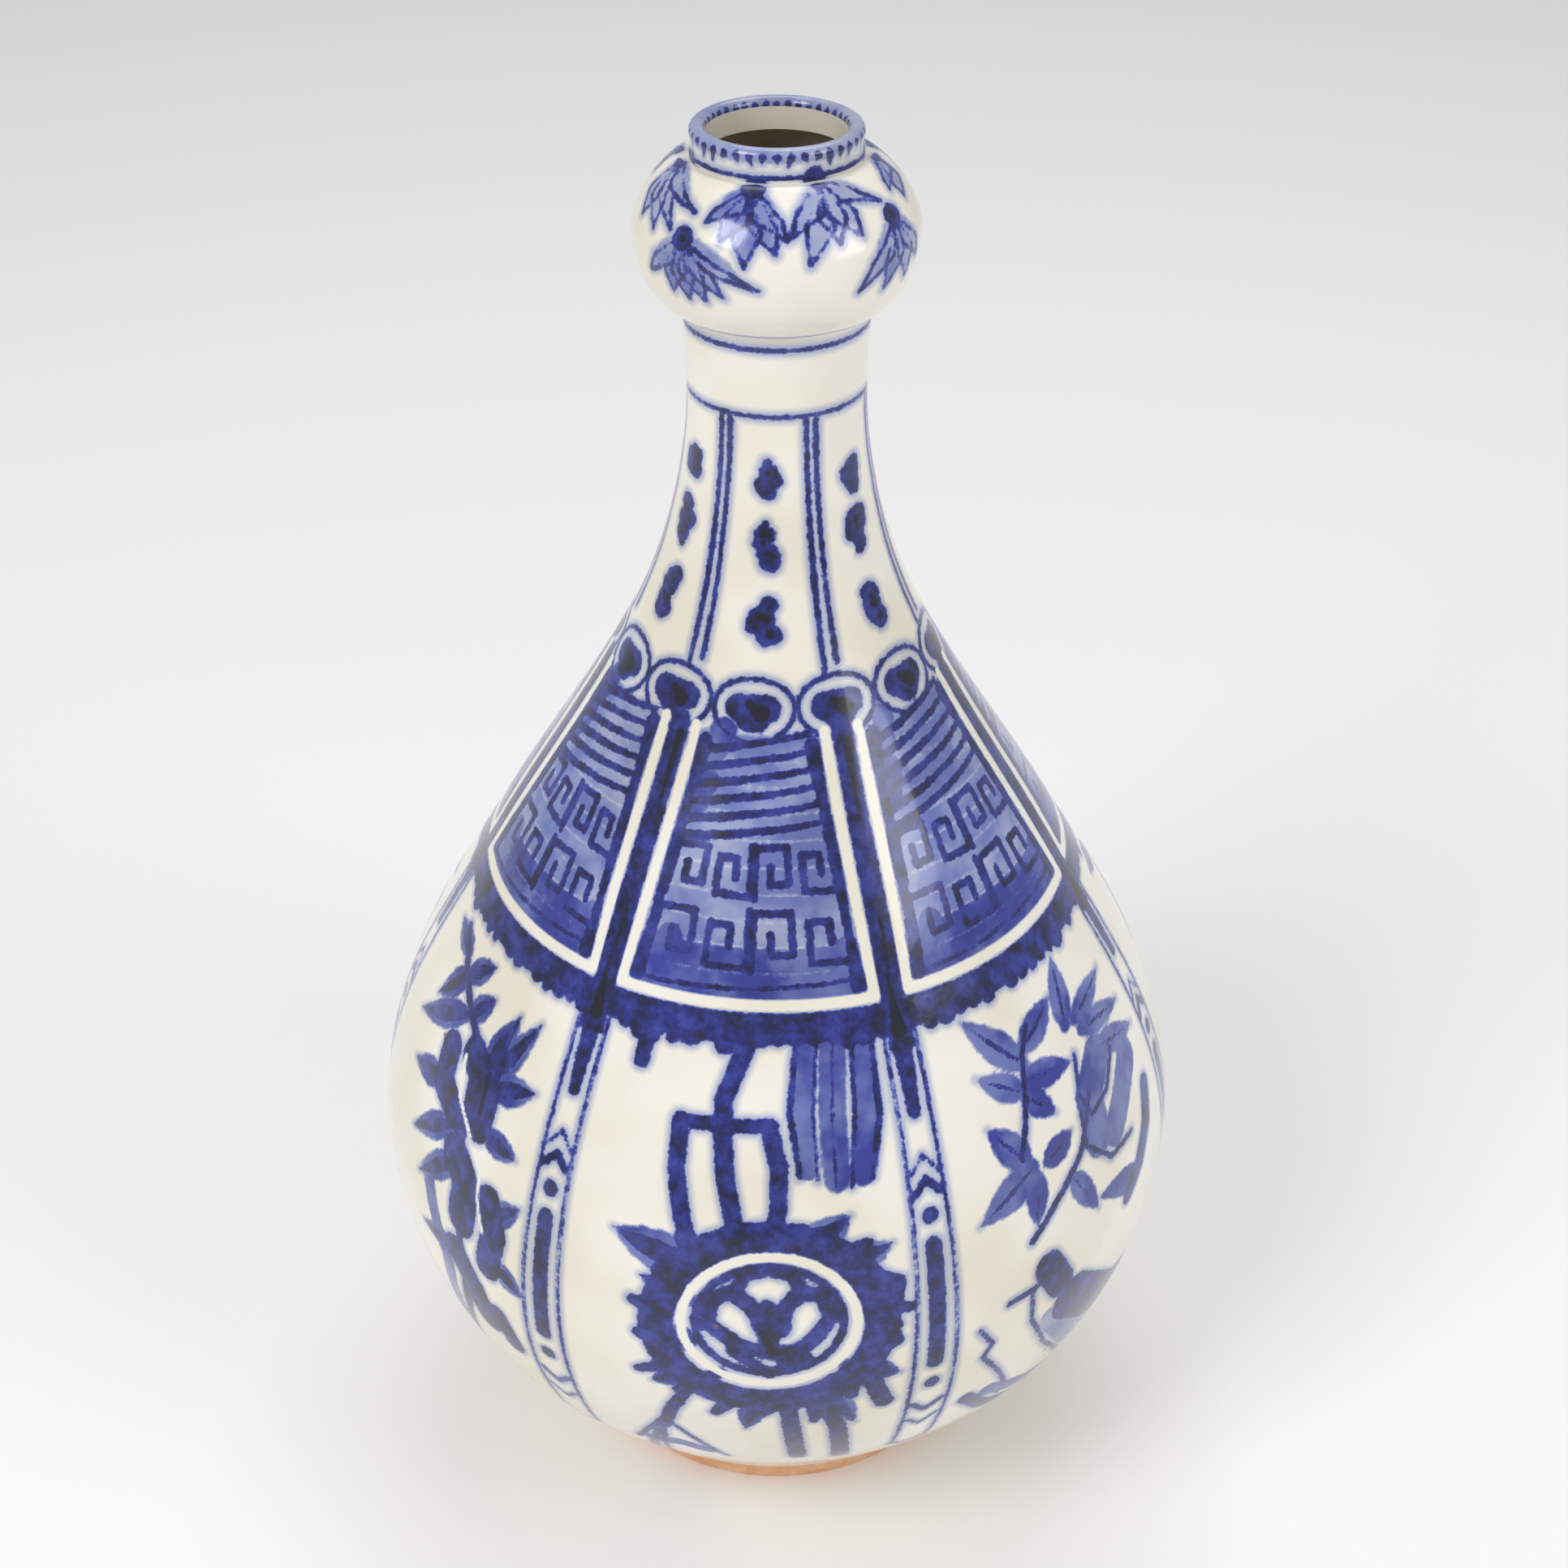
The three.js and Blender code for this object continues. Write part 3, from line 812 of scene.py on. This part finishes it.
def lathed(name, outer, inner, segments, cap_axis=False):
    """A closed turned wall with the painting's fields; profiles are (radius, height) in mm."""
    profile = np.vstack([outer, inner])
    rows = len(profile)
    angles = np.arange(segments) * 360.0 / segments
    rad = np.radians(angles)
    sides = np.stack([np.outer(profile[:, 0], np.sin(rad)), -np.outer(profile[:, 0], np.cos(rad)),
                      np.broadcast_to(profile[:, 1][:, None], (rows, segments))], axis=-1) * MM
    verts = sides.reshape(-1, 3)
    v = np.append(bake_rows(outer, profile), 1.0)
    j = np.arange(segments)
    k = (j + 1) % segments
    left, right = j / segments, (j + 1) / segments
    faces = []
    uvs = []
    for i in range(rows - 1) if cap_axis else range(rows):
        low, high = i * segments, ((i + 1) % rows) * segments
        faces += np.stack([low + j, low + k, high + k, high + j], axis=1).tolist()
        v0, v1 = np.full(segments, v[i]), np.full(segments, v[i + 1])
        uvs.append(np.stack([left, v0, right, v0, right, v1, left, v1], axis=1).reshape(-1, 2))
    if cap_axis:
        first, last = len(verts), (rows - 1) * segments
        verts = np.vstack([verts, [[0, 0, profile[0, 1] * MM], [0, 0, profile[-1, 1] * MM]]])
        faces += [[first, int(b), int(a)] for a, b in zip(j, k)]
        faces += [[first + 1, int(last + a), int(last + b)] for a, b in zip(j, k)]
        uvs += [[[0.5, 0.0]] * 3 * segments, [[0.5, 1.0]] * 3 * segments]
    mesh = bpy.data.meshes.new(name)
    mesh.from_pydata(verts.tolist(), [], faces)
    mesh.uv_layers.new(name="OFBake").data.foreach_set("uv", np.clip(np.vstack(uvs), 0, 1).ravel())
    mesh.update()
    mesh.set_sharp_from_angle(angle=SHARP_ANGLE)
    fields = painting.fields(angles, outer[:, 1])
    fields["inside"] = np.zeros((len(outer), segments))
    for key, grid in fields.items():
        values = np.full(len(verts), 1.0 if key == "inside" else FIELD_REACH)
        values[:grid.size] = grid.ravel()
        mesh.attributes.new(key, "FLOAT", "POINT").data.foreach_set("value", values)
    thing = bpy.data.objects.new(name, mesh)
    bpy.context.scene.collection.objects.link(thing)
    thing.data.materials.append(bpy.data.materials.get("cobalt_glaze") or glaze_material())
    return thing


def adopt(thing, slot, *nodes):
    """Hangs a finished piece on the bottle's body and hides the imported nodes that it stands in for."""
    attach(thing, BODY)
    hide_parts(*nodes)


def wall(name, low, high, rows, segments):
    """A section of belly, shoulder or neck wall between two heights."""
    z = np.linspace(low, high, rows)
    outer = np.stack([hermite(z)[0], z], axis=1)
    zi = np.linspace(high, low, max(rows // 8, 2))
    inner = np.stack([wall_inside(zi), zi], axis=1)
    return lathed(name, outer, inner, segments)


class VaseLook(bpy.types.PropertyGroup):
    """Sizes and colours of the finish."""

    cream: bpy.props.FloatVectorProperty(
        name="Cream", description="Colour of the bare glaze over the porcelain",
        size=4, subtype="COLOR", min=0.0, max=1.0, default=srgb("f1ece0"))
    cobalt: bpy.props.FloatVectorProperty(
        name="Cobalt", description="Colour of a full cobalt line",
        size=4, subtype="COLOR", min=0.0, max=1.0, default=srgb("3642ac"))
    gloss: bpy.props.FloatProperty(
        name="Gloss", description="Strength of the clear glaze coat",
        min=0.0, max=1.0, subtype="FACTOR", default=0.35)
    fineness: bpy.props.IntProperty(
        name="Segments", description="Segments round the body, of which the neck has half",
        min=64, default=640)
    grit_size: bpy.props.FloatProperty(
        name="Grit size", description="Radius of the largest kiln grit",
        unit="LENGTH", default=0.00028)
    floor_colour: bpy.props.FloatVectorProperty(
        name="Floor", description="Colour of the floor",
        size=4, subtype="COLOR", min=0.0, max=1.0, default=srgb("f3f2ef"))


class VASE_OT_lower_body(bpy.types.Operator):
    """Make the belly, its floor and the foot ring"""

    bl_idname = "vase.lower_body"
    bl_label = "Lower body"

    def execute(self, context):
        segments = context.scene.vase_look.fineness
        ring_inner = FOOT_RADIUS - FOOT_RING_WIDTH
        ease = FOOT_EDGE_EASE
        turns = np.linspace(0, math.pi / 2, 5)
        first_height, first_radius = OUTLINE[0]
        rise, flare = first_height - ease, first_radius - FOOT_RADIUS
        foot = [(r, FOOT_RECESS_DEPTH) for r in np.linspace(NEAR_AXIS, ring_inner - ease, 12)]
        foot += [(ring_inner + ease - ease * math.cos(t), ease - ease * math.sin(t)) for t in turns]
        foot += [(FOOT_RADIUS - ease + ease * math.sin(t), ease - ease * math.cos(t)) for t in turns]
        foot += [(FOOT_RADIUS + flare * t, ease + rise * t) for t in (0.25, 0.5, 0.75)]
        z = np.linspace(first_height, BODY_SPLIT, BASE_ROWS)
        outer = np.vstack([foot, np.stack([hermite(z)[0], z], axis=1)])
        zi = np.linspace(BODY_SPLIT, FLOOR_TOP + BODY_WALL, 14)
        inner = np.stack([wall_inside(zi), zi], axis=1)
        cove = inner[-1, 0] - BODY_WALL
        bend = [(cove + BODY_WALL * math.cos(t), FLOOR_TOP + BODY_WALL - BODY_WALL * math.sin(t))
                for t in np.linspace(0.3, math.pi / 2, 5)]
        floor = [(r, FLOOR_TOP) for r in np.linspace(cove - FLOOR_MARGIN, NEAR_AXIS, 8)]
        base = lathed("belly_and_foot", outer, np.vstack([inner, bend, floor]), segments, cap_axis=True)
        belly = wall("belly", BODY_SPLIT, BODY_SEAM, BELLY_ROWS, segments)
        adopt(base, GLAZE, "lower_body")
        adopt(belly, GLAZE, "lower_body")
        return {"FINISHED"}


class VASE_OT_shoulder_and_neck(bpy.types.Operator):
    """Make the shoulder cone and the neck tube"""

    bl_idname = "vase.shoulder_and_neck"
    bl_label = "Shoulder and neck"

    def execute(self, context):
        segments = context.scene.vase_look.fineness
        shoulder = wall("shoulder_wall", BODY_SEAM + SLIP, NECK_SEAM, SHOULDER_ROWS, segments)
        neck = wall("neck_tube", NECK_SEAM + SLIP, BULB_BASE, NECK_ROWS, segments // 2)
        adopt(shoulder, GLAZE, "shoulder")
        adopt(neck, GLAZE, "neck")
        return {"FINISHED"}


class VASE_OT_bulb(bpy.types.Operator):
    """Make the garlic bulb"""

    bl_idname = "vase.bulb"
    bl_label = "Garlic bulb"

    def execute(self, context):
        segments = context.scene.vase_look.fineness // 2
        low, high = BULB_BASE + SLIP, BULB_TOP - SLIP
        turns = np.linspace(-math.pi / 2, math.pi / 2, BULB_ROWS)
        z = (low + high) / 2 + np.sin(turns) * (high - low) / 2
        outer = np.stack([bulb_radius(z, NECK_TOP_RADIUS, COLLAR_RADIUS, BULB_RADIUS), z], axis=1)
        zi = z[::-5]
        inner = np.stack([bulb_radius(zi, NECK_TOP_RADIUS - NECK_WALL, COLLAR_RADIUS - LIP_THICKNESS,
                                      BULB_RADIUS - NECK_WALL), zi], axis=1)
        adopt(lathed("garlic_bulb_wall", outer, inner, segments), GLAZE, "garlic_bulb")
        return {"FINISHED"}


class VASE_OT_collar(bpy.types.Operator):
    """Make the mouth collar with its rounded lip"""

    bl_idname = "vase.collar"
    bl_label = "Mouth collar"

    def execute(self, context):
        segments = context.scene.vase_look.fineness // 2
        lip = LIP_THICKNESS / 2
        z = np.linspace(BULB_TOP, COLLAR_TOP - lip, 16)
        waist = COLLAR_RADIUS - 0.25 * np.sin(np.linspace(0, math.pi, 16))
        side = np.stack([waist, z], axis=1)
        turns = np.linspace(0, math.pi, 24)[1:]
        round_lip = np.stack([COLLAR_RADIUS - lip + lip * np.cos(turns),
                              COLLAR_TOP - lip + lip * np.sin(turns)], axis=1)
        zi = np.linspace(COLLAR_TOP - lip - 0.3, BULB_TOP, 8)
        inner = np.stack([np.full(8, COLLAR_RADIUS - LIP_THICKNESS), zi], axis=1)
        collar = lathed("mouth_collar_ring", np.vstack([side, round_lip]), inner, segments)
        adopt(collar, GLAZE, "mouth_collar")
        return {"FINISHED"}


class VASE_OT_slip_seams(bpy.types.Operator):
    """Make the four luting seams under the glaze"""

    bl_idname = "vase.slip_seams"
    bl_label = "Slip seams"

    def execute(self, context):
        segments = context.scene.vase_look.fineness
        adopt(wall("body_seam", BODY_SEAM, BODY_SEAM + SLIP, 3, segments), "slip", "body_seam_slip")
        adopt(wall("neck_seam", NECK_SEAM, NECK_SEAM + SLIP, 3, segments), "slip", "neck_seam_slip")
        for name, low, r, thick, node in (
                ("bulb_seam", BULB_BASE, NECK_TOP_RADIUS, NECK_WALL, "bulb_seam_slip"),
                ("collar_seam", BULB_TOP - SLIP, COLLAR_RADIUS, LIP_THICKNESS, "collar_seam_slip")):
            z = np.linspace(low, low + SLIP, 3)
            outer = np.stack([np.full(3, r), z], axis=1)
            inner = np.stack([np.full(3, r - thick), z[::-1]], axis=1)
            adopt(lathed(name, outer, inner, segments // 2), "slip", node)
        return {"FINISHED"}


class VASE_OT_kiln_grit(bpy.types.Operator):
    """Scatter kiln grit on the bare foot ring"""

    bl_idname = "vase.kiln_grit"
    bl_label = "Kiln grit"

    def execute(self, context):
        look = context.scene.vase_look
        count = GRIT_SIDES
        ring = np.linspace(0, 2 * math.pi, count, endpoint=False)
        rows = [(FOOT_RADIUS + out, z) for out, z in GRIT_BAND]
        verts = [(r * math.sin(a) * MM, -r * math.cos(a) * MM, z * MM) for r, z in rows for a in ring]
        faces = [(i, (i + 1) % count, count + (i + 1) % count, count + i) for i in range(count)]
        mesh = bpy.data.meshes.new("kiln_grit")
        mesh.from_pydata(verts, [], faces)
        grit = bpy.data.objects.new("kiln_grit", mesh)
        context.scene.collection.objects.link(grit)
        tree = bpy.data.node_groups.new("grit_scatter", "GeometryNodeTree")
        shape, number = "NodeSocketGeometry", "NodeSocketFloat"
        for label, kind, side in (("Foot", shape, "INPUT"), ("Density", number, "INPUT"),
                                  ("Size", number, "INPUT"), ("Grit", shape, "OUTPUT")):
            tree.interface.new_socket(label, in_out=side, socket_type=kind)
        source = tree.nodes.new("NodeGroupInput")
        result = tree.nodes.new("NodeGroupOutput")
        scatter = tree.nodes.new("GeometryNodeDistributePointsOnFaces")
        scatter.inputs["Seed"].default_value = 7
        grain = tree.nodes.new("GeometryNodeMeshIcoSphere")
        grain.inputs["Subdivisions"].default_value = 2
        sizes = tree.nodes.new("FunctionNodeRandomValue")
        sizes.inputs["Seed"].default_value = 3
        sizes.inputs[2].default_value = 0.35
        sizes.inputs[3].default_value = 1.0
        place = tree.nodes.new("GeometryNodeInstanceOnPoints")
        solid = tree.nodes.new("GeometryNodeRealizeInstances")
        paint = tree.nodes.new("GeometryNodeSetMaterial")
        paint.inputs["Material"].default_value = grit_material()
        link = tree.links.new
        link(source.outputs["Foot"], scatter.inputs["Mesh"])
        link(source.outputs["Density"], scatter.inputs["Density"])
        link(source.outputs["Size"], grain.inputs["Radius"])
        link(scatter.outputs["Points"], place.inputs["Points"])
        link(grain.outputs["Mesh"], place.inputs["Instance"])
        link(sizes.outputs[1], place.inputs["Scale"])
        link(place.outputs["Instances"], solid.inputs["Geometry"])
        link(solid.outputs["Geometry"], paint.inputs["Geometry"])
        link(paint.outputs["Geometry"], result.inputs["Grit"])
        modifier = grit.modifiers.new("grit", "NODES")
        modifier.node_group = tree
        sockets = {item.name: item.identifier for item in tree.interface.items_tree}
        modifier[sockets["Density"]] = GRIT_DENSITY
        modifier[sockets["Size"]] = look.grit_size
        grit.update_tag()
        done = bpy.data.meshes.new_from_object(grit.evaluated_get(context.evaluated_depsgraph_get()))
        grit.modifiers.clear()
        grit.data = done
        if not len(done.polygons):
            raise RuntimeError("the foot ring got no kiln grit")
        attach(grit, BODY)
        return {"FINISHED"}


class VASE_OT_stage(bpy.types.Operator):
    """Make the floor, the lamps and the camera"""

    bl_idname = "vase.stage"
    bl_label = "Stage"

    def execute(self, context):
        scene = context.scene
        scene.view_settings.view_transform = "Standard"
        mesh = bpy.data.meshes.new("floor")
        corners = [(x * FLOOR_REACH, y * FLOOR_REACH, 0) for x, y in ((-1, -1), (1, -1), (1, 1), (-1, 1))]
        mesh.from_pydata(corners, [], [(0, 1, 2, 3)])
        floor = bpy.data.objects.new("floor", mesh)
        scene.collection.objects.link(floor)
        n = Nodes("floor")
        n.put(tuple(scene.vase_look.floor_colour), n.shader.inputs["Base Color"])
        n.shader.inputs["Roughness"].default_value = 0.7
        mesh.materials.append(n.material)
        world = bpy.data.worlds.new("studio")
        world.use_nodes = True
        scene.world = world
        back = world.node_tree.nodes["Background"]
        back.inputs["Color"].default_value = SKY_COLOUR
        back.inputs["Strength"].default_value = SKY_STRENGTH
        for name, place, size, power in LAMPS:
            lamp = bpy.data.lights.new(name, "AREA")
            lamp.size = size
            lamp.energy = power
            thing = bpy.data.objects.new(name, lamp)
            thing.location = place
            aim = np.array([0, 0, LAMP_AIM_HEIGHT]) - np.array(place)
            thing.rotation_euler = (math.atan2(math.hypot(aim[0], aim[1]), -aim[2]), 0,
                                    math.atan2(-aim[0], aim[1]))
            scene.collection.objects.link(thing)
        data = bpy.data.cameras.new("camera")
        data.sensor_width = SENSOR
        data.lens = FOCAL_PIXELS / PHOTO_SIZE * SENSOR
        data.clip_start = CLIP_START
        data.shift_x = AXIS_SHIFT
        camera = bpy.data.objects.new("camera", data)
        camera.location = (0, -CAMERA_DISTANCE * MM, CAMERA_HEIGHT * MM)
        camera.rotation_euler = (math.pi / 2 - CAMERA_TILT, 0, 0)
        scene.collection.objects.link(camera)
        scene.camera = camera
        return {"FINISHED"}


class VASE_PT_panel(bpy.types.Panel):
    """Lists the finish values and the steps that make the vase"""

    bl_label = "Garlic-head vase"
    bl_space_type = "VIEW_3D"
    bl_region_type = "UI"
    bl_category = "Vase"

    def draw(self, context):
        look = context.scene.vase_look
        for name in ("cream", "cobalt", "gloss", "fineness", "grit_size", "floor_colour"):
            self.layout.prop(look, name)
        for step in STEPS:
            self.layout.operator(step.bl_idname)


STEPS = (VASE_OT_lower_body, VASE_OT_shoulder_and_neck, VASE_OT_bulb, VASE_OT_collar,
         VASE_OT_slip_seams, VASE_OT_kiln_grit, VASE_OT_stage)
CLASSES = (VaseLook, *STEPS, VASE_PT_panel)


def register():
    """Registers the classes and hangs the finish values on the scene."""
    for cls in CLASSES:
        bpy.utils.register_class(cls)
    bpy.types.Scene.vase_look = bpy.props.PointerProperty(type=VaseLook)


def unregister():
    """Takes the finish values and the classes away again."""
    del bpy.types.Scene.vase_look
    for cls in reversed(CLASSES):
        bpy.utils.unregister_class(cls)


def paint_all():
    """Lays every stroke of the painting before the sections take their fields."""
    paint_strips()
    paint_lappets()
    paint_shoulder_ring()
    paint_neck()
    paint_bulb()
    paint_collar()
    paint_hoops()
    paint_panel(0, LEFT_PANEL, LEFT_LEAVES, 0.6)
    paint_panel(1, FRONT_PANEL, FRONT_LEAVES, 0.6)
    paint_panel(2, RIGHT_PANEL, RIGHT_LEAVES, 0.2)
    paint_medallion()


def main():
    """Registers the add-on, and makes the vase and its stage."""
    register()
    paint_all()
    for step in STEPS:
        family, name = step.bl_idname.split(".")
        getattr(getattr(bpy.ops, family), name)()


if __name__ == "__main__":
    main()
